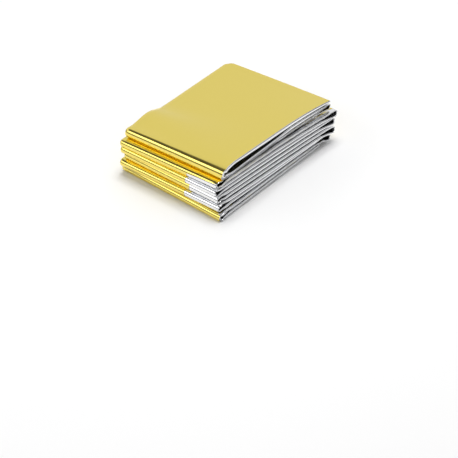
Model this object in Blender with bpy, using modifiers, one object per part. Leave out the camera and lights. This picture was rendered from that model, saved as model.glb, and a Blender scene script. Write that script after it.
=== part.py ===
"""Emergency foil blanket, folded back and forth into a pack of twelve layers.

The sheet is first pleated lengthwise into a narrow strip, so each layer here is the whole bundle of pleats.
The strip then runs back and forth over the depth of the pack. +X is to the side where the pleats show silver,
+Y is from the front folds to the back folds, +Z is up, and the pack stands on z = 0.
"""

import math
from collections import namedtuple

import bmesh
import bpy

MM = 0.001

# Size of the pack, in millimetres
WIDTH = 97.0
FRONT_Y = -66.0
BACK_Y = 70.0

# Middle of the pack in the figures below, which the solid has on the origin
MIDDLE_X = 0.5
MIDDLE_Y = 3.45

# Thickness of one bundle of pleats and of the thinner one that makes the two top layers
BUNDLE = 2.5
TOP_BUNDLE = 2.0

# Extra thickness of the slack upper layers, halfway along the right side
SLACK = {1: 1.8, 2: 0.7, 3: 0.6, 4: 0.6}
MOST_BUNDLE = TOP_BUNDLE + max(SLACK.values())

# Where the points lie along a layer, from front to back, closer on the top two for the crease across them
TOP_POINTS = (0.0, 0.04, 0.1, 0.17, 0.24, 0.31, 0.45, 0.65, 0.82, 0.93, 1.0)
LAYER_POINTS = (0.0, 0.09, 0.2, 0.35, 0.6, 0.82, 0.93, 1.0)

# Steps in the half turn of a fold, and stations from the left side to the right
FOLD_STEPS = 5
STATIONS = (0.0, 0.014, 0.036, 0.07, 0.16, 0.3, 0.5, 0.7, 0.86, 0.93, 1.0)

# Height of each layer's middle above the middle of the layer below it, at the corners and halfway back
Layer = namedtuple("Layer", "front_left front_right mid_left mid_right back_left back_right")
LAYERS = {
    12: Layer(1.25, 1.25, 1.25, 1.25, 1.25, 1.25),
    11: Layer(3.4, 3.3, 3.3, 3.8, 3.2, 3.2),
    10: Layer(3.9, 4.1, 3.3, 3.0, 3.2, 3.4),
    9: Layer(3.1, 3.5, 3.15, 3.75, 3.2, 3.2),
    8: Layer(3.1, 3.6, 3.15, 3.85, 3.3, 3.4),
    7: Layer(3.1, 3.4, 3.15, 3.5, 3.2, 3.3),
    6: Layer(3.1, 3.3, 3.15, 3.75, 3.3, 3.5),
    5: Layer(3.1, 3.2, 3.15, 3.8, 3.2, 3.3),
    4: Layer(3.1, 3.4, 3.25, 3.7, 3.4, 3.4),
    3: Layer(3.1, 3.9, 3.15, 3.7, 3.2, 3.4),
    2: Layer(4.2, 3.7, 3.0, 3.3, 2.8, 2.8),
    1: Layer(3.2, 6.5, 2.9, 5.0, 2.4, 2.4),
}

# Reach of each fold's nose over the depth, and of its ends to the sides, where the strip turns
Fold = namedtuple("Fold", "upper reach_left reach_right side_left side_right")
FRONT_FOLDS = [
    Fold(1, -61.5, -63.6, -48.5, 48.9),
    Fold(3, -66.7, -66.8, -49.0, 46.5),
    Fold(5, -66.2, -67.7, -49.2, 45.8),
    Fold(7, -63.4, -66.4, -48.0, 46.5),
    Fold(9, -66.4, -66.6, -50.0, 47.5),
    Fold(11, -62.3, -67.2, -51.5, 49.5),
]
BACK_FOLDS = [
    Fold(2, 66.5, 70.3, -48.8, 48.8),
    Fold(4, 70.0, 74.6, -50.0, 52.5),
    Fold(6, 67.8, 73.0, -48.6, 51.5),
    Fold(8, 69.5, 73.2, -49.8, 51.8),
    Fold(10, 66.8, 70.8, -49.2, 49.2),
]
TOP_END = Fold(1, 63.8, 69.2, -48.5, 48.5)
BOTTOM_END = Fold(12, 57.0, 57.0, -48.8, 48.6)

# How far the fold noses at the back right hang down, over the last stretch of their layers
DROOP = {2: 0.0, 4: 0.2, 6: 0.5, 8: 1.6, 10: 2.6}
DROOP_START = 59.0

# The roll at the front of the two top layers stands open, over this stretch behind its nose, and each
# of the two moves this much
ROLL_DEPTH_LEFT = 13.0
ROLL_DEPTH_RIGHT = 28.0
ROLL_LEFT = 1.55
ROLL_RIGHT = 0.65

# Swell across the top layer: a short ridge on the left, and on the right a long low one, open underneath
RIDGE_LEFT = 3.9
RIDGE_RIGHT = 1.7
RIDGE_Y_LEFT = -34.0
RIDGE_Y_RIGHT = -48.0
RIDGE_RISE_LEFT = 26.0
RIDGE_RISE_RIGHT = 12.0
RIDGE_FALL_LEFT = 17.0
RIDGE_FALL_RIGHT = 66.0

# Round corner of the top layer, back left
CORNER_RADIUS = 7.0


def mix(a, b, share):
    return a + (b - a) * share


def smooth(share):
    share = min(max(share, 0.0), 1.0)
    return share * share * (3 - 2 * share)


def edge(y):
    """0 halfway back, 1 at the front and at the back."""
    return min((y / FRONT_Y) ** 2 if y < 0 else (y / BACK_Y) ** 2, 1.0)


def level(layer, y, share):
    """Height of a layer's middle in the plain stack, share of the way from the left side to the right."""
    height = 0.0
    for number in range(12, layer - 1, -1):
        step = LAYERS[number]
        middle = mix(step.mid_left, step.mid_right, share)
        front = mix(step.front_left, step.front_right, share)
        back = mix(step.back_left, step.back_right, share)
        height += mix(middle, front if y < 0 else back, edge(y))
    return height


def thickness(layer, y, share):
    """Thickness of the bundle of pleats."""
    plain = TOP_BUNDLE if layer <= 2 else BUNDLE
    return plain + SLACK.get(layer, 0.0) * share * (1 - edge(y))


def ridge(y, share):
    """Height of the swell that runs across the top layer."""
    crest = mix(RIDGE_Y_LEFT, RIDGE_Y_RIGHT, share)
    rise = mix(RIDGE_RISE_LEFT, RIDGE_RISE_RIGHT, share)
    fall = mix(RIDGE_FALL_LEFT, RIDGE_FALL_RIGHT, share)
    return mix(RIDGE_LEFT, RIDGE_RIGHT, share) * smooth(1 - abs(y - crest) / (rise if y < crest else fall))


def droop(layer, y, share):
    """How far the layer hangs down towards its fold at the back right."""
    fold = layer - layer % 2
    return DROOP.get(fold, 0.0) * smooth((y - DROOP_START) / (BACK_Y - DROOP_START)) * smooth(share)


def roll(layer, y, share):
    """Opening of the front roll, up for the top layer and down for the one under it."""
    nose = mix(FRONT_FOLDS[0].reach_left, FRONT_FOLDS[0].reach_right, share)
    opened = smooth(1 - (y - nose) / mix(ROLL_DEPTH_LEFT, ROLL_DEPTH_RIGHT, share))
    most = mix(ROLL_LEFT, ROLL_RIGHT, share)
    return most * opened if layer == 1 else -most * opened


def height(layer, y, share):
    z = level(layer, y, share) - droop(layer, y, share)
    if layer <= 2:
        z += roll(layer, y, share)
    if layer == 1:
        z += ridge(y, share)
    return z


def reach(fold, share):
    """Depth of the middle of the bundle at a fold's nose."""
    outer = mix(fold.reach_left, fold.reach_right, share)
    return outer - math.copysign(thickness(fold.upper, outer, share) / 2, outer)


def turn(fold, share):
    """Centre and radius of a fold's half turn, found so that its nose ends at the fold's reach."""
    nose = reach(fold, share)
    outwards = math.copysign(1, nose)
    y = nose
    for _ in range(4):
        radius = (height(fold.upper, y, share) - height(fold.upper + 1, y, share)) / 2
        y = nose - outwards * radius
    centre = (height(fold.upper, y, share) + height(fold.upper + 1, y, share)) / 2
    return y, centre, radius, outwards


def side(fold, share):
    return mix(fold.side_left, fold.side_right, share)


def top_corner(share):
    """How far the round corner draws the free end of the top layer forwards."""
    inwards = share * WIDTH
    if inwards >= CORNER_RADIUS:
        return 0.0
    return CORNER_RADIUS - math.sqrt(CORNER_RADIUS**2 - (CORNER_RADIUS - inwards) ** 2)


def strip_section(share):
    """Points (x, y, z, thickness) of the strip's middle from the top free end to the bottom one."""
    folds = []
    for front, back in zip(FRONT_FOLDS, BACK_FOLDS + [BOTTOM_END]):
        folds += [front, back]
    points = []
    start, start_y = TOP_END, mix(TOP_END.reach_left, TOP_END.reach_right, share) - top_corner(share)
    for layer, fold in enumerate(folds, 1):
        if fold is BOTTOM_END:
            end_y = mix(fold.reach_left, fold.reach_right, share)
        else:
            end_y, centre, radius, outwards = turn(fold, share)
        stops = TOP_POINTS if layer <= 2 else LAYER_POINTS
        for along in stops if layer % 2 == 0 else [1 - stop for stop in reversed(stops)]:
            y = mix(start_y, end_y, along)
            x = mix(side(start, share), side(fold, share), along)
            points.append((x, y, height(layer, y, share), thickness(layer, y, share)))
        if fold is BOTTOM_END:
            return points
        upper, lower = thickness(layer, end_y, share), thickness(layer + 1, end_y, share)
        for k in range(1, FOLD_STEPS):
            angle = math.pi * k / FOLD_STEPS
            y = end_y + outwards * radius * math.sin(angle)
            z = centre + radius * math.cos(angle)
            points.append((side(fold, share), y, z, mix(upper, lower, k / FOLD_STEPS)))
        start, start_y = fold, end_y


def foil_material():
    """Metallised film, gold lacquer side out."""
    material = bpy.data.materials.new("metallised_gold_film")
    material.use_nodes = True
    shader = material.node_tree.nodes["Principled BSDF"]
    shader.inputs["Base Color"].default_value = (0.71, 0.55, 0.14, 1.0)
    shader.inputs["Metallic"].default_value = 1.0
    shader.inputs["Roughness"].default_value = 0.2
    material.diffuse_color = (0.71, 0.55, 0.14, 1.0)
    return material


def folded_strip(collection):
    """The whole blanket: an open surface along the strip's middle, thickened to the bundle of pleats."""
    sections = [strip_section(share) for share in STATIONS]
    count = len(sections[0])
    mesh = bpy.data.meshes.new("foil_blanket")
    shape = bmesh.new()
    weights = shape.verts.layers.deform.verify()
    grid = bmesh.ops.create_grid(shape, x_segments=len(STATIONS) - 1, y_segments=count - 1, size=1.0)
    verts = sorted(grid["verts"], key=lambda v: (round(v.co.x, 6), round(v.co.y, 6)))
    for index, vert in enumerate(verts):
        x, y, z, wall = sections[index // count][index % count]
        vert.co = ((x - MIDDLE_X) * MM, (y - MIDDLE_Y) * MM, z * MM)
        vert[weights][0] = wall / MOST_BUNDLE
    bmesh.ops.recalc_face_normals(shape, faces=shape.faces)
    shape.to_mesh(mesh)
    shape.free()
    mesh.shade_smooth()

    blanket = bpy.data.objects.new("foil_blanket", mesh)
    collection.objects.link(blanket)
    mesh.materials.append(foil_material())
    blanket.vertex_groups.new(name="bundle")
    bundle = blanket.modifiers.new("bundle of pleats", "SOLIDIFY")
    bundle.thickness = MOST_BUNDLE * MM
    bundle.offset = 0.0
    bundle.use_rim = True
    bundle.vertex_group = "bundle"
    return blanket


def main():
    for old in list(bpy.data.objects):
        bpy.data.objects.remove(old, do_unlink=True)
    collection = bpy.data.collections.new("foil_blanket")
    bpy.context.scene.collection.children.link(collection)
    folded_strip(collection)


main()
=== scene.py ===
"""Emergency foil blanket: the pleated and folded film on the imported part, and the stage it is seen on."""

import math
from collections import namedtuple

import bmesh
import bpy
import numpy as np
from bpy.props import FloatProperty, PointerProperty, StringProperty
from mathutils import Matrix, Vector


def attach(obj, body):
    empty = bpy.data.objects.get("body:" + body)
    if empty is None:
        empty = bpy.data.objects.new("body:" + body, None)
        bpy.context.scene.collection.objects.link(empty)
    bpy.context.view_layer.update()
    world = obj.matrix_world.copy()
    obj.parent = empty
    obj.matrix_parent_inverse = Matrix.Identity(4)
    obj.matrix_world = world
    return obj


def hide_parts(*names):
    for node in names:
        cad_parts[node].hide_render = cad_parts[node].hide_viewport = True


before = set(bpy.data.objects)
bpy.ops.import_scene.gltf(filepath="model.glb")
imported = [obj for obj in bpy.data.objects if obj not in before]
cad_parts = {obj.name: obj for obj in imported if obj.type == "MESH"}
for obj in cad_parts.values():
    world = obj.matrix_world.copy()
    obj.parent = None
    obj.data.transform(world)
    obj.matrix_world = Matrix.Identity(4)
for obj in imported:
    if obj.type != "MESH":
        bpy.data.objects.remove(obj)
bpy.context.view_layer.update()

bl_info = {
    "name": "Emergency foil blanket",
    "version": (1, 0, 0),
    "blender": (4, 5, 0),
    "location": "View3D > Sidebar > Foil blanket",
    "description": "Makes the folded metallised film blanket and its stage",
    "category": "Add Mesh",
}

MM = 0.001

# The strip's path through the pack, in millimetres, as the solid has it
WIDTH = 97.0
FRONT_Y = -66.0
BACK_Y = 70.0
MIDDLE_X = 0.5
MIDDLE_Y = 3.45

# Height of each layer's middle above the middle of the layer below it, at the corners and halfway back
Layer = namedtuple("Layer", "front_left front_right mid_left mid_right back_left back_right")
LAYERS = {
    12: Layer(1.25, 1.25, 1.25, 1.25, 1.25, 1.25),
    11: Layer(3.4, 3.3, 3.3, 3.8, 3.2, 3.2),
    10: Layer(3.9, 4.1, 3.3, 3.0, 3.2, 3.4),
    9: Layer(3.1, 3.5, 3.15, 3.75, 3.2, 3.2),
    8: Layer(3.1, 3.6, 3.15, 3.85, 3.3, 3.4),
    7: Layer(3.1, 3.4, 3.15, 3.5, 3.2, 3.3),
    6: Layer(3.1, 3.3, 3.15, 3.75, 3.3, 3.5),
    5: Layer(3.1, 3.2, 3.15, 3.8, 3.2, 3.3),
    4: Layer(3.1, 3.4, 3.25, 3.7, 3.4, 3.4),
    3: Layer(3.1, 3.9, 3.15, 3.7, 3.2, 3.4),
    2: Layer(4.2, 3.7, 3.0, 3.3, 2.8, 2.8),
    1: Layer(3.2, 6.5, 2.9, 5.0, 2.4, 2.4),
}

# Reach of each fold's nose over the depth, and of its ends to the sides, where the strip turns
Fold = namedtuple("Fold", "upper reach_left reach_right side_left side_right")
FRONT_FOLDS = [
    Fold(1, -61.5, -63.6, -48.5, 48.9),
    Fold(3, -66.7, -66.8, -49.0, 46.5),
    Fold(5, -66.2, -67.7, -49.2, 45.8),
    Fold(7, -63.4, -66.4, -48.0, 46.5),
    Fold(9, -66.4, -66.6, -50.0, 47.5),
    Fold(11, -62.3, -67.2, -51.5, 49.5),
]
BACK_FOLDS = [
    Fold(2, 66.5, 70.3, -48.8, 48.8),
    Fold(4, 70.0, 74.6, -50.0, 52.5),
    Fold(6, 67.8, 73.0, -48.6, 51.5),
    Fold(8, 69.5, 73.2, -49.8, 51.8),
    Fold(10, 66.8, 70.8, -49.2, 49.2),
]
TOP_END = Fold(1, 63.8, 69.2, -48.5, 48.5)
BOTTOM_END = Fold(12, 57.0, 57.0, -48.8, 48.6)

# How far the fold noses at the back right hang down, the opening of the front roll, and the swell of the top
DROOP = {2: 0.0, 4: 0.2, 6: 0.5, 8: 1.6, 10: 2.6}
DROOP_START = 59.0
ROLL_DEPTH_LEFT = 13.0
ROLL_DEPTH_RIGHT = 28.0
ROLL_LEFT = 1.55
ROLL_RIGHT = 0.65
RIDGE_LEFT = 3.9
RIDGE_RIGHT = 1.7
RIDGE_Y_LEFT = -34.0
RIDGE_Y_RIGHT = -48.0
RIDGE_RISE_LEFT = 26.0
RIDGE_RISE_RIGHT = 12.0
RIDGE_FALL_LEFT = 17.0
RIDGE_FALL_RIGHT = 66.0
CORNER_RADIUS = 7.0

# Thickness of the bundle of pleats in the plain layers and in the two top ones, and what the slack ones add
BUNDLE = 2.8
TOP_BUNDLE = 2.1
SLACK = {1: 1.6, 2: 0.5, 3: 0.4, 4: 0.4}

# Where the film has points along a layer, and steps in the half turn of a fold
TOP_STOPS = (0.0, 0.02, 0.045, 0.08, 0.12, 0.16, 0.2, 0.24, 0.28, 0.33, 0.4, 0.5, 0.62, 0.74, 0.85, 0.93, 1.0)
STOPS = (0.0, 0.02, 0.05, 0.09, 0.15, 0.3, 0.5, 0.72, 0.88, 0.95, 1.0)
TURN_STEPS = 7

# Share of the bundle pressed outwards at each fold's nose, which leaves a hollow inside, or below 0 the share
# that it spreads inwards
HOLLOWS = {1: -0.5, 2: 0.55, 3: 0.3, 4: 0.65, 5: 0.4, 6: 0.65, 7: 0.35, 8: 0.65, 9: 0.45, 10: 0.6, 11: 0.25}
HOLLOW_DEPTH = 14.0

# The pleats: panels across the strip, and where each has points between its two turns
PANELS = 22
ACROSS = (0.058, 0.092, 0.4, 0.65, 0.85, 0.93)
SHOULDER = 0.14

# At each side the upper pleat of a layer is sprung open over part of the bundle, and the others stay back.
# Its nose is round, and two feet lead back from it: how far up each lies, and its share of the length
OPEN_SHARE = 0.66
OPEN_SHARES = {1: 0.92, 2: 0.5, 3: 0.3, 4: 0.34, 11: 0.4, 12: 0.4}
OPEN_LENGTH = 3.2
NOSE_LENGTH = 0.95
CLOSED_NOSE = 0.1
NOSE_FEET = ((0.02, 1.1), (0.5, 0.45))
NOSE_ANGLES = (72, 44, 16, -12, -40, -70)
RECESS = 1.4
MOST_RISE = 0.9
LEAST_GAP = 0.4

# The open pleats of the second layer rise by this towards the top one, and close the gap under it at the back
CLOSING_RISE = 1.3
CLOSING_RUN = 18.0

# Right edge of the outermost panel along the path, in layers from the top: full on the top and bottom layers.
# It lies over the pleats and stays this far behind the side. Points at an end keep this room between them
EDGE_PLACES = (3.3, 3.36, 4.5, 5.5, 7.5, 8.5, 9.2, 9.6, 10.5, 11.05)
EDGE_X = (50.0, 17.5, 15.0, 16.0, 18.5, 19.0, 13.5, 15.0, 15.5, 50.0)
OVERLAP = 0.08
EDGE_BACK = 0.4
END_ROOM = 0.3
POINT_ROOM = 0.1

# On the layer above the bottom one that edge keeps back from the side, except near the front fold
UNDER_LAYER = 11
UNDER_EDGE = 40.0
UNDER_Y = -42.0
UNDER_RUN = 10.0

# Right edge of the innermost panel behind the side, and where its gold shows round two of the back folds, at
# these places on the path
UNDER_BACK = 7.0
GLIMPSES = ((3.9, 4.6), (7.9, 8.6))
GLIMPSE_Y = 66.0
GLIMPSE_RUN = 6.0
GLIMPSE_BACK = 1.2

# Unevenness of the closed pleats, as a wave over the panels and along the path, and the crumples at the front
RAGGED = 0.7
RAGGED_PANEL = 1.6
RAGGED_RUN = 9.0
RAGGED_LAYER = 1.7
CRUMPLE = 1.2
CRUMPLE_DEPTH = 14.0
CRUMPLE_RANGE = (-1.0, 0.6)
CRUMPLE_SEED = 7

SHARES = (0.0, 0.01, 0.036) + ACROSS + (1.0,)

# Fine wrinkles of the film and the patches where it is rubbed, in metres
WRINKLE_SIZE = 0.005
WRINKLE_HEIGHT = 0.00004
RUBBED_SIZE = 0.02

# Tooth of the paper floor, in metres
TOOTH_SIZE = 0.0006
TOOTH_HEIGHT = 0.00002

# Soft boxes, in metres and watts
Light = namedtuple("Light", "name place aim size power")
LIGHTS = (
    Light("front_left_box", (-0.75, -1.1, 0.95), (0, 0, 0.02), (1.1, 0.55), 3.0),
    Light("overhead_box", (0.0, 0.1, 1.3), (0, 0, 0), (0.5, 0.5), 9.5),
)
FLOOR_HALF = 3.0

# Picture and sensor of the camera, and where the pack's middle stands in the picture, in pixels
PICTURE = 458
SENSOR = 36.0
PACK_AT = (225, 142)
AIM_HEIGHT = 0.0155

# Brightness of the studio round the pack against the sine of the height above the horizon
FRONT_WALL = ((0.0, 0.06), (0.2, 0.06), (0.28, 0.95), (0.6, 0.95), (0.7, 0.08), (0.9, 0.08), (0.96, 0.8))
BACK_WALL = ((0.0, 0.8), (1.0, 0.8))
RIGHT_WALL = ((0.0, 0.1), (0.45, 0.12), (0.6, 0.85), (1.0, 0.85))

# Where the front wall turns into the back one along Y, and the back one into the right one along X
FRONT_TO_BACK = (0.1, 0.42)
BACK_TO_RIGHT = (0.05, 0.4)


def mix(a, b, share):
    return a + (b - a) * share


def smooth(share):
    share = min(max(share, 0.0), 1.0)
    return share * share * (3 - 2 * share)


def edge(y):
    """0 halfway back, 1 at the front and at the back."""
    return min((y / FRONT_Y) ** 2 if y < 0 else (y / BACK_Y) ** 2, 1.0)


def level(layer, y, share):
    """Height of a layer's middle in the plain stack, share of the way from the left side to the right."""
    height = 0.0
    for number in range(12, layer - 1, -1):
        step = LAYERS[number]
        middle = mix(step.mid_left, step.mid_right, share)
        front = mix(step.front_left, step.front_right, share)
        back = mix(step.back_left, step.back_right, share)
        height += mix(middle, front if y < 0 else back, edge(y))
    return height


def plain_bundle(layer):
    """Thickness of the bundle of pleats where it isn't slack."""
    return TOP_BUNDLE if layer <= 2 else BUNDLE


def thickness(layer, y, share):
    """Thickness of the bundle of pleats."""
    return plain_bundle(layer) + SLACK.get(layer, 0.0) * share * (1 - edge(y))


def ridge(y, share):
    """Height of the swell that runs across the top layer."""
    crest = mix(RIDGE_Y_LEFT, RIDGE_Y_RIGHT, share)
    rise = mix(RIDGE_RISE_LEFT, RIDGE_RISE_RIGHT, share)
    fall = mix(RIDGE_FALL_LEFT, RIDGE_FALL_RIGHT, share)
    return mix(RIDGE_LEFT, RIDGE_RIGHT, share) * smooth(1 - abs(y - crest) / (rise if y < crest else fall))


def droop(layer, y, share):
    """How far the layer hangs down towards its fold at the back right."""
    fold = layer - layer % 2
    return DROOP.get(fold, 0.0) * smooth((y - DROOP_START) / (BACK_Y - DROOP_START)) * smooth(share)


def roll(layer, y, share):
    """Opening of the front roll, up for the top layer and down for the one under it."""
    nose = mix(FRONT_FOLDS[0].reach_left, FRONT_FOLDS[0].reach_right, share)
    opened = smooth(1 - (y - nose) / mix(ROLL_DEPTH_LEFT, ROLL_DEPTH_RIGHT, share))
    most = mix(ROLL_LEFT, ROLL_RIGHT, share)
    return most * opened if layer == 1 else -most * opened


def height(layer, y, share):
    z = level(layer, y, share) - droop(layer, y, share)
    if layer <= 2:
        z += roll(layer, y, share)
    if layer == 1:
        z += ridge(y, share)
    return z


def turn(fold, share):
    """Centre and radius of a fold's half turn, found so that its nose ends at the fold's reach."""
    outer = mix(fold.reach_left, fold.reach_right, share)
    outwards = math.copysign(1, outer)
    nose = outer - outwards * thickness(fold.upper, outer, share) / 2
    y = nose
    for _ in range(4):
        radius = (height(fold.upper, y, share) - height(fold.upper + 1, y, share)) / 2
        y = nose - outwards * radius
    centre = (height(fold.upper, y, share) + height(fold.upper + 1, y, share)) / 2
    return y, centre, radius, outwards


def top_corner(share):
    """How far the round corner draws the free end of the top layer forwards."""
    inwards = share * WIDTH
    if inwards >= CORNER_RADIUS:
        return 0.0
    return CORNER_RADIUS - math.sqrt(CORNER_RADIUS**2 - (CORNER_RADIUS - inwards) ** 2)


# One station of the strip's path: its sides, the bundle's thickness and how far that is moved off the middle,
# the layer it is on plus the share of the turn below it, its place over the depth, and the gap above its right
# end
Station = namedtuple("Station", "left right wall shift place y gap")


def folds_in_order():
    folds = []
    for front, back in zip(FRONT_FOLDS, BACK_FOLDS + [BOTTOM_END]):
        folds += [front, back]
    return folds


def hollow(number, near):
    """Thickness taken from the bundle near a fold, and how far it is pressed up or, at a back fold, down."""
    taken = HOLLOWS.get(number, 0.0) * near
    return taken, taken if number % 2 else -taken


def stations():
    """The path's stations from the top free end to the bottom one."""
    start = TOP_END
    made = []
    chance = np.random.default_rng(CRUMPLE_SEED)
    for layer, fold in enumerate(folds_in_order(), 1):
        plain = plain_bundle(layer)
        start_y, end_y = start.reach_right, fold.reach_right
        stops = TOP_STOPS if layer <= 2 else STOPS
        for along in stops if layer % 2 == 0 else [1 - stop for stop in reversed(stops)]:
            left = mix(start.side_left, fold.side_left, along)
            right = mix(start.side_right, fold.side_right, along)
            y = mix(start_y, end_y, along)
            taken, moved = 0.0, 0.0
            for number, away in ((layer - 1, abs(y - start_y)), (layer, abs(y - end_y))):
                some, towards = hollow(number, smooth(1 - away / HOLLOW_DEPTH))
                taken += some
                moved += towards / 2 * plain
            gap = 0.0
            if layer > 1:
                walls = thickness(layer - 1, y, 1.0) + thickness(layer, y, 1.0)
                gap = height(layer - 1, y, 1.0) - height(layer, y, 1.0) - walls / 2
            front = smooth((FRONT_Y + CRUMPLE_DEPTH - y) / CRUMPLE_DEPTH)
            right += CRUMPLE * front * chance.uniform(*CRUMPLE_RANGE)
            made.append(Station(left, right, plain * (1 - taken), moved, layer, y, gap))
        if fold is not BOTTOM_END:
            for step in range(1, TURN_STEPS):
                share = step / TURN_STEPS
                taken, towards = hollow(layer, 1.0)
                plain = mix(plain_bundle(layer), plain_bundle(layer + 1), share)
                wall = plain * (1 - taken)
                right = fold.side_right + (CRUMPLE * chance.uniform(*CRUMPLE_RANGE) if layer % 2 else 0.0)
                moved = towards / 2 * plain
                made.append(Station(fold.side_left, right, wall, moved, layer + share, end_y, 0.0))
        start = fold
    return made


def path(share):
    """(y, z) of the strip's middle at each station, and how much thicker than plain the bundle is there."""
    start_y = mix(TOP_END.reach_left, TOP_END.reach_right, share) - top_corner(share)
    made = []
    for layer, fold in enumerate(folds_in_order(), 1):
        if fold is BOTTOM_END:
            end_y = mix(fold.reach_left, fold.reach_right, share)
        else:
            end_y, centre, radius, outwards = turn(fold, share)
        stops = TOP_STOPS if layer <= 2 else STOPS
        for along in stops if layer % 2 == 0 else [1 - stop for stop in reversed(stops)]:
            y = mix(start_y, end_y, along)
            swell = thickness(layer, y, share) / plain_bundle(layer)
            made.append((y, height(layer, y, share), swell))
        if fold is not BOTTOM_END:
            for step in range(1, TURN_STEPS):
                angle = math.pi * step / TURN_STEPS
                y = end_y + outwards * radius * math.sin(angle)
                made.append((y, centre + radius * math.cos(angle), 1.0))
        start_y = end_y
    return made


# An open pleat: its height, how far its nose stands out, and how far the nose rises above the bundle
Pleat = namedtuple("Pleat", "height out rise")


def open_pleats(station):
    """The open pleats next to the upper face of odd layers and next to the upper face of even layers."""
    layer = int(station.place)
    share = smooth(station.place - layer)
    odd = 1 - share if layer % 2 else share
    pitch = station.wall / (PANELS - 1)
    most = MOST_RISE if layer > 3 else CLOSING_RISE * smooth(station.y / CLOSING_RUN) if layer == 2 else 0.0
    rise = min(max(station.gap - LEAST_GAP, 0.0), most)
    tall = mix(OPEN_SHARES.get(layer, OPEN_SHARE), OPEN_SHARES.get(layer + 1, OPEN_SHARE), share)
    open_height = tall * station.wall + rise
    return [Pleat(mix(pitch, open_height, opened), opened, rise * opened) for opened in (odd, 1 - odd)]


def stay_back(offset, half, above, below):
    """How far the closed pleats keep from the side, behind the open ones."""
    back = RECESS
    for pleat, depth in ((above, half - offset), (below, offset + half)):
        reach = pleat.height - pleat.rise
        if pleat.out > 0.0 and depth < reach:
            hidden = mix(OPEN_LENGTH, NOSE_LENGTH + END_ROOM, depth / reach)
            back = max(back, mix(RECESS, hidden, pleat.out))
    return back


def right_edge(station):
    """Right edge of the outermost panel."""
    if station.place == UNDER_LAYER:
        return mix(UNDER_EDGE, station.right - EDGE_BACK, smooth((UNDER_Y - station.y) / UNDER_RUN))
    return min(np.interp(station.place, EDGE_PLACES, EDGE_X), station.right - EDGE_BACK)


def under_edge(station):
    """Right edge of the innermost panel, which shows its gold only round two of the back folds."""
    shown = 0.0
    if any(first < station.place < last for first, last in GLIMPSES):
        shown = smooth((station.y - GLIMPSE_Y) / GLIMPSE_RUN)
    return station.right - mix(UNDER_BACK, GLIMPSE_BACK, shown)


def ragged(panel, station):
    """How much further back one pleat stays than its neighbours, for fine uneven lines on the sides."""
    wave = math.sin(RAGGED_PANEL * panel + station.y / RAGGED_RUN + RAGGED_LAYER * station.place)
    return RAGGED * (1 + wave) / 2


def pleats(station):
    """(x, offset) of the sheet's points across the strip at one station, from its right edge on the top."""
    left, right, half = station.left, station.right, station.wall / 2
    pitch = station.wall / (PANELS - 1)
    above, below = open_pleats(station)
    last = PANELS - 1
    across = [mix(left, right, share) for share in ACROSS]
    points = []
    for panel in range(last, -1, -1):
        offset = panel * pitch - half
        to_left = (last - panel) % 2 == 0
        next_offset = offset - pitch
        back = stay_back(offset, half, above, below) + ragged(panel // 2, station)
        left_end, right_end = left + back, right - back
        if panel == last:
            right_end = right_edge(station)
            offset += OVERLAP
        elif panel == 0:
            right_end = min(right_end, under_edge(station))
        inner = [min(x, right_end - END_ROOM - POINT_ROOM * (len(across) - i)) for i, x in enumerate(across)]
        line = [(x, offset) for x in (left_end + SHOULDER, *inner, right_end - SHOULDER)]
        points += line[::-1] if to_left else line
        if panel == 0:
            break
        side, inwards = (left, 1) if to_left else (right, -1)
        if panel >= last - 1:
            points += nose(side, inwards, half, above, 1)
        elif panel <= 2:
            points += nose(side, inwards, half, below, -1)
        else:
            end = left_end if to_left else right_end
            points.append((end, (offset + next_offset) / 2))
    return [(x, offset + station.shift) for x, offset in points]


def nose(side, inwards, half, pleat, upwards):
    """Round of an open pleat at the side, from the outer panel to the inner one."""
    length = mix(CLOSED_NOSE, NOSE_LENGTH, pleat.out)
    tip = side + inwards * mix(RECESS, 0.0, pleat.out)
    top = half + pleat.rise
    points = []
    for degrees in NOSE_ANGLES:
        angle = math.radians(degrees)
        x = tip + inwards * length * (1 - math.cos(angle))
        points.append((x, upwards * (top - pleat.height / 2 * (1 - math.sin(angle)))))
    low, high = top - pleat.height, half - POINT_ROOM
    foot, back = NOSE_FEET
    points.append((tip + inwards * length * foot[1], upwards * mix(low, high, foot[0])))
    reach = mix(length, OPEN_LENGTH, back[1] * pleat.out)
    points.append((tip + inwards * reach, upwards * mix(low, high, back[0])))
    return points if upwards > 0 else points[::-1]


def panel_directions():
    """For each column, whether the sheet runs to the left there."""
    directions = []
    for number in range(PANELS):
        directions += [number % 2 == 0] * (len(ACROSS) + 2)
        is_open = number < 2 or number > PANELS - 4
        directions += [number % 2 == 0] * (len(NOSE_ANGLES) + 2 if is_open else 1)
    return directions


def film_points():
    """The film's points in metres, rows along the strip's path and columns across the flat sheet."""
    made = stations()
    middle = np.array([path(share) for share in SHARES]).transpose(1, 0, 2)
    middle, swell = middle[..., :2], middle[..., 2]
    along = np.gradient(middle, axis=0)
    along /= np.linalg.norm(along, axis=2, keepdims=True)
    normal = np.stack([along[..., 1], -along[..., 0]], axis=2)
    rows = []
    for row, station in enumerate(made):
        x, offset = np.array(pleats(station)).T
        share = np.clip((x - station.left) / (station.right - station.left), 0.0, 1.0)
        offset = offset * np.interp(share, SHARES, swell[row])
        y = np.interp(share, SHARES, middle[row, :, 0]) + offset * np.interp(share, SHARES, normal[row, :, 0])
        z = np.interp(share, SHARES, middle[row, :, 1]) + offset * np.interp(share, SHARES, normal[row, :, 1])
        rows.append(np.stack([x - MIDDLE_X, y - MIDDLE_Y, z], axis=1) * MM)
    return np.array(rows)


def linear(code):
    """A colour's linear values from its sRGB hex code."""
    values = [int(code[i : i + 2], 16) / 255 for i in (0, 2, 4)]
    return tuple(v / 12.92 if v <= 0.04045 else ((v + 0.055) / 1.055) ** 2.4 for v in values) + (1.0,)


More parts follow.
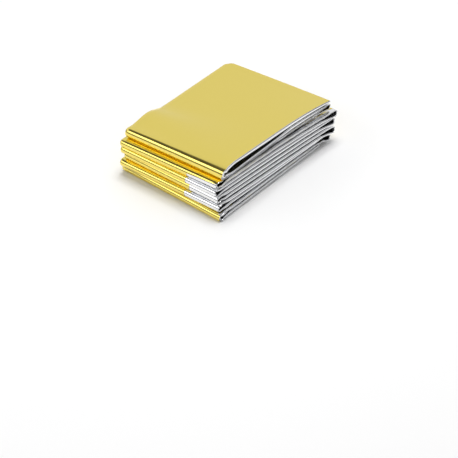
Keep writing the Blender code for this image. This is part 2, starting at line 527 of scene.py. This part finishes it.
def node(tree, kind, settings=None, inputs=None, links=None):
    """Adds a node with its settings, its sockets' values and the outputs linked to its sockets."""
    made = tree.nodes.new(kind)
    for name, value in (settings or {}).items():
        setattr(made, name, value)
    for name, value in (inputs or {}).items():
        made.inputs[name].default_value = value
    for name, source in (links or {}).items():
        tree.links.new(source, made.inputs[name])
    return made


def film_material(name, code, roughness):
    """PET film with aluminium deposited on it in vacuum: a bright mirror softened by fine crinkles.

    The eye gets sharp lines where it is folded and a satin glow on the flat faces, from fine wrinkles that
    are hard to see one by one, and a haze that changes a little where the film has been rubbed.
    """
    material = bpy.data.materials.new(name)
    material.use_nodes = True
    tree = material.node_tree
    tree.nodes.clear()
    place = node(tree, "ShaderNodeTexCoord").outputs["Object"]
    wrinkles = node(
        tree,
        "ShaderNodeTexNoise",
        inputs={"Scale": 1 / WRINKLE_SIZE, "Detail": 3.0, "Roughness": 0.6},
        links={"Vector": place},
    )
    rubbed = node(
        tree,
        "ShaderNodeTexNoise",
        inputs={"Scale": 1 / RUBBED_SIZE, "Detail": 2.0},
        links={"Vector": place},
    )
    haze = node(
        tree,
        "ShaderNodeMapRange",
        inputs={"From Min": 0.3, "From Max": 0.7, "To Min": roughness * 0.85, "To Max": roughness * 1.15},
        links={"Value": rubbed.outputs["Fac"]},
    )
    bump = node(
        tree,
        "ShaderNodeBump",
        inputs={"Strength": 1.0, "Distance": WRINKLE_HEIGHT},
        links={"Height": wrinkles.outputs["Fac"]},
    )
    shader = node(
        tree,
        "ShaderNodeBsdfPrincipled",
        inputs={"Base Color": linear(code), "Metallic": 1.0},
        links={"Roughness": haze.outputs["Result"], "Normal": bump.outputs["Normal"]},
    )
    node(tree, "ShaderNodeOutputMaterial", links={"Surface": shader.outputs["BSDF"]})
    material.diffuse_color = linear(code)
    return material


class FilmSettings(bpy.types.PropertyGroup):
    film: FloatProperty(
        name="Film thickness",
        description="Thickness of the film, drawn thicker than the real 0.012 mm so that its edge shows",
        default=0.03,
        min=0.01,
        max=0.06,
    )
    gold: StringProperty(
        name="Gold side", description="Colour of the lacquered side, sRGB hex", default="F3DE74"
    )
    silver: StringProperty(
        name="Silver side", description="Colour of the bare metal side, sRGB hex", default="F2F3F5"
    )
    roughness: FloatProperty(
        name="Roughness",
        description="Haze of the metallised face",
        default=0.16,
        min=0.0,
        max=1.0,
        subtype="FACTOR",
    )


class StageSettings(bpy.types.PropertyGroup):
    azimuth: FloatProperty(
        name="Azimuth",
        description="Camera's turn round the pack",
        default=math.radians(39.0),
        subtype="ANGLE",
    )
    elevation: FloatProperty(
        name="Elevation",
        description="Camera's height above the horizon",
        default=math.radians(35.2),
        subtype="ANGLE",
    )
    lens: FloatProperty(
        name="Lens",
        description="Focal length in millimetres",
        default=200.0,
        min=20.0,
        max=400.0,
    )
    distance: FloatProperty(
        name="Distance",
        description="From the camera to the pack",
        default=1.957,
        unit="LENGTH",
        subtype="DISTANCE",
    )


class OBJECT_OT_foil_film(bpy.types.Operator):
    """Makes the film, pleated across and folded back and forth, in place of the plain solid"""

    bl_idname = "object.foil_film"
    bl_label = "Add the film"

    def execute(self, context):
        settings = context.scene.foil_film
        points = film_points()
        count = points.shape[1]
        shape = bmesh.new()
        verts = [[shape.verts.new(point) for point in row] for row in points]
        to_left = panel_directions()
        for row, below in zip(verts, verts[1:]):
            for column in range(count - 1):
                a, b, c, d = row[column], row[column + 1], below[column + 1], below[column]
                # Cut the same way in space on every panel, so that neighbours stay parallel
                if to_left[column]:
                    shape.faces.new((a, b, c))
                    shape.faces.new((a, c, d))
                else:
                    shape.faces.new((a, b, d))
                    shape.faces.new((b, c, d))
        for side in shape.edges:
            side.smooth = not side.is_boundary
        mesh = bpy.data.meshes.new("film_sheet")
        shape.to_mesh(mesh)
        shape.free()
        mesh.shade_smooth()
        film = bpy.data.objects.new("film_sheet", mesh)
        context.scene.collection.objects.link(film)
        haze = settings.roughness
        mesh.materials.append(film_material("metallised_pet_gold_lacquer", settings.gold, haze))
        mesh.materials.append(film_material("metallised_pet_bare_aluminium", settings.silver, haze))
        wall = film.modifiers.new("film", "SOLIDIFY")
        wall.thickness = settings.film * MM
        wall.offset = 0.0
        wall.material_offset = 1
        wall.material_offset_rim = 1
        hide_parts("foil_blanket")
        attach(film, "root")
        return {"FINISHED"}


def area_light(scene, light):
    """A soft box at a place, turned to a point."""
    lamp = bpy.data.lights.new(light.name, "AREA")
    lamp.shape = "RECTANGLE"
    lamp.size, lamp.size_y = light.size
    lamp.energy = light.power
    made = bpy.data.objects.new(light.name, lamp)
    made.location = light.place
    made.rotation_mode = "QUATERNION"
    made.rotation_quaternion = (Vector(light.aim) - Vector(light.place)).to_track_quat("-Z", "Y")
    scene.collection.objects.link(made)


class SCENE_OT_foil_stage(bpy.types.Operator):
    """Makes the floor, the studio light and the camera at the photograph's angle"""

    bl_idname = "scene.foil_stage"
    bl_label = "Add the stage"

    def execute(self, context):
        scene = context.scene
        settings = scene.foil_stage
        self.floor(scene)
        self.world(scene)
        for light in LIGHTS:
            area_light(scene, light)
        self.camera(scene, settings)
        scene.view_settings.view_transform = "Standard"
        return {"FINISHED"}

    def floor(self, scene):
        shape = bmesh.new()
        bmesh.ops.create_grid(shape, x_segments=1, y_segments=1, size=FLOOR_HALF)
        mesh = bpy.data.meshes.new("floor")
        shape.to_mesh(mesh)
        shape.free()
        floor = bpy.data.objects.new("floor", mesh)
        scene.collection.objects.link(floor)
        mesh.materials.append(self.paper())

    def paper(self):
        """Uncoated white paper: plain and matt, with a fine tooth that keeps it from looking like plastic."""
        material = bpy.data.materials.new("matt_white_paper")
        material.use_nodes = True
        tree = material.node_tree
        shader = tree.nodes["Principled BSDF"]
        shader.inputs["Base Color"].default_value = linear("F4F4F4")
        shader.inputs["Roughness"].default_value = 0.9
        shader.inputs["Specular IOR Level"].default_value = 0.1
        place = node(tree, "ShaderNodeTexCoord").outputs["Object"]
        tooth = node(tree, "ShaderNodeTexNoise", inputs={"Scale": 1 / TOOTH_SIZE}, links={"Vector": place})
        bump = node(
            tree,
            "ShaderNodeBump",
            inputs={"Distance": TOOTH_HEIGHT},
            links={"Height": tooth.outputs["Fac"]},
        )
        tree.links.new(bump.outputs["Normal"], shader.inputs["Normal"])
        return material

    def world(self, scene):
        world = bpy.data.worlds.new("studio")
        world.use_nodes = True
        scene.world = world
        tree = world.node_tree
        tree.nodes.clear()
        place = node(tree, "ShaderNodeTexCoord")
        split = node(tree, "ShaderNodeSeparateXYZ", links={"Vector": place.outputs["Generated"]})
        front = self.ramp(tree, split.outputs["Z"], FRONT_WALL)
        back = self.ramp(tree, split.outputs["Z"], BACK_WALL)
        side = node(
            tree,
            "ShaderNodeMapRange",
            settings={"interpolation_type": "SMOOTHSTEP"},
            inputs={"From Min": FRONT_TO_BACK[0], "From Max": FRONT_TO_BACK[1]},
            links={"Value": split.outputs["Y"]},
        )
        right = self.ramp(tree, split.outputs["Z"], RIGHT_WALL)
        turned = node(
            tree,
            "ShaderNodeMapRange",
            settings={"interpolation_type": "SMOOTHSTEP"},
            inputs={"From Min": BACK_TO_RIGHT[0], "From Max": BACK_TO_RIGHT[1]},
            links={"Value": split.outputs["X"]},
        )
        behind = node(
            tree,
            "ShaderNodeMix",
            settings={"data_type": "FLOAT"},
            links={
                "Factor": turned.outputs["Result"],
                "A": back.outputs["Color"],
                "B": right.outputs["Color"],
            },
        )
        both = node(
            tree,
            "ShaderNodeMix",
            settings={"data_type": "FLOAT"},
            links={
                "Factor": side.outputs["Result"],
                "A": front.outputs["Color"],
                "B": behind.outputs["Result"],
            },
        )
        light = node(tree, "ShaderNodeBackground", links={"Color": both.outputs["Result"]})
        node(tree, "ShaderNodeOutputWorld", links={"Surface": light.outputs["Background"]})

    def ramp(self, tree, source, stops):
        made = node(tree, "ShaderNodeValToRGB", links={"Fac": source})
        elements = made.color_ramp.elements
        while len(elements) < len(stops):
            elements.new(0.5)
        for element, (place, value) in zip(elements, stops):
            element.position = place
            element.color = (value, value, value, 1.0)
        return made

    def camera(self, scene, settings):
        lens = bpy.data.cameras.new("camera")
        lens.lens = settings.lens
        lens.sensor_width = SENSOR
        lens.clip_start, lens.clip_end = 0.05, 20.0
        camera = bpy.data.objects.new("camera", lens)
        turn_by, rise = settings.azimuth, settings.elevation
        level, upwards = math.cos(rise), math.sin(rise)
        back = Vector((math.sin(turn_by) * level, -math.cos(turn_by) * level, upwards))
        aim = Vector((-MIDDLE_X * MM, -MIDDLE_Y * MM, AIM_HEIGHT))
        camera.location = aim + back * settings.distance
        # The pack stands in the upper half of the picture, so the camera looks below it
        right = Vector((math.cos(turn_by), math.sin(turn_by), 0.0))
        up = back.cross(right)
        pixels = settings.lens / SENSOR * PICTURE
        middle = PICTURE / 2
        look = -back + right * ((middle - PACK_AT[0]) / pixels) + up * ((PACK_AT[1] - middle) / pixels)
        camera.rotation_mode = "QUATERNION"
        camera.rotation_quaternion = look.to_track_quat("-Z", "Y")
        scene.collection.objects.link(camera)
        scene.camera = camera


class VIEW3D_PT_foil_blanket(bpy.types.Panel):
    bl_label = "Foil blanket"
    bl_space_type = "VIEW_3D"
    bl_region_type = "UI"
    bl_category = "Foil blanket"

    def draw(self, context):
        for name in ("azimuth", "elevation", "lens", "distance"):
            self.layout.prop(context.scene.foil_stage, name)
        for name in ("film", "gold", "silver", "roughness"):
            self.layout.prop(context.scene.foil_film, name)
        self.layout.operator("object.foil_film")
        self.layout.operator("scene.foil_stage")


CLASSES = (FilmSettings, StageSettings, OBJECT_OT_foil_film, SCENE_OT_foil_stage, VIEW3D_PT_foil_blanket)


def register():
    for cls in CLASSES:
        bpy.utils.register_class(cls)
    bpy.types.Scene.foil_film = PointerProperty(type=FilmSettings)
    bpy.types.Scene.foil_stage = PointerProperty(type=StageSettings)


def unregister():
    del bpy.types.Scene.foil_film
    del bpy.types.Scene.foil_stage
    for cls in reversed(CLASSES):
        bpy.utils.unregister_class(cls)


def main():
    register()
    bpy.ops.scene.foil_stage()
    bpy.ops.object.foil_film()


if __name__ == "__main__":
    main()
